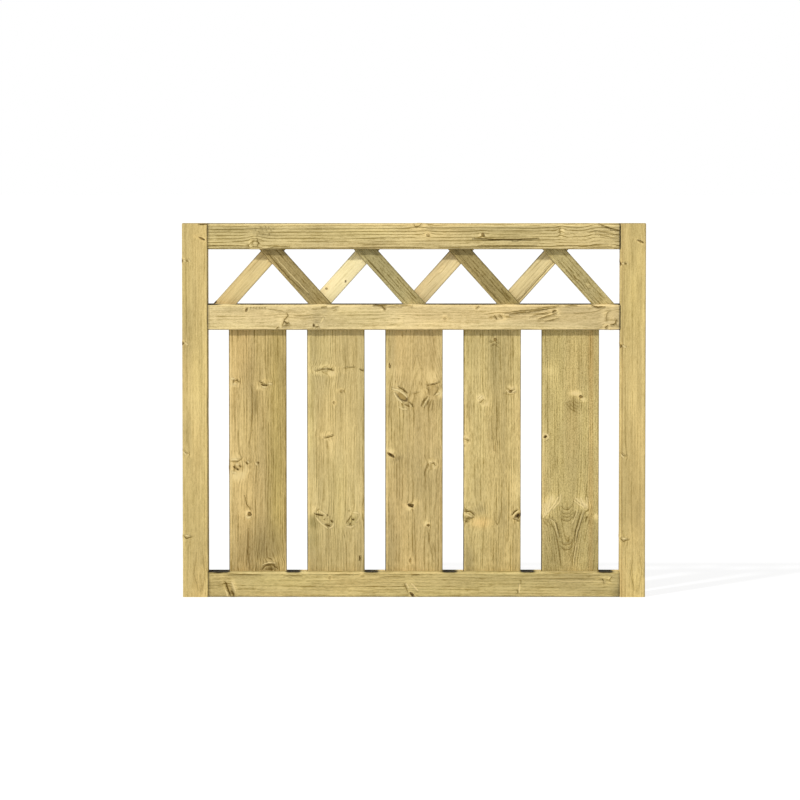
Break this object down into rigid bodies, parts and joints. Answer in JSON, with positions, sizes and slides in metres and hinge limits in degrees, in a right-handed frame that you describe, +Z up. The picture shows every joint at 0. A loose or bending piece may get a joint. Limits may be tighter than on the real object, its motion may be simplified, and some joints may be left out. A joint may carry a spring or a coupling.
{
  "type": "wooden garden gate leaf",
  "caption": "Framed wooden garden gate leaf with spaced upright boards below and an open band of zigzag slats above; hung by a stile to close a path opening.",
  "frame": {"origin": "middle of the outer edge face of the hinge stile", "axes": "+X along the width from the hinge stile to the latch stile, +Y from the front face to the back, +Z up"},
  "size_m": [0.99, 0.045, 0.8],
  "materials": {
    "frame_timber": "planed pressure-treated pine",
    "board_timber": "planed pressure-treated pine",
    "falling_slat_timber": "planed pressure-treated pine",
    "rising_slat_timber": "planed pressure-treated pine"
  },
  "bodies": {
    "root": {"hinge_stile": "frame_timber", "latch_stile": "frame_timber", "top_rail": "frame_timber", "middle_rail": "frame_timber", "bottom_rail": "frame_timber", "board_1": "board_timber", "board_2": "board_timber", "board_3": "board_timber", "board_4": "board_timber", "board_5": "board_timber", "falling_slat_1": "falling_slat_timber", "falling_slat_2": "falling_slat_timber", "falling_slat_3": "falling_slat_timber", "falling_slat_4": "falling_slat_timber", "rising_slat_1": "rising_slat_timber", "rising_slat_2": "rising_slat_timber", "rising_slat_3": "rising_slat_timber", "rising_slat_4": "rising_slat_timber"}
  },
  "joints": []
}
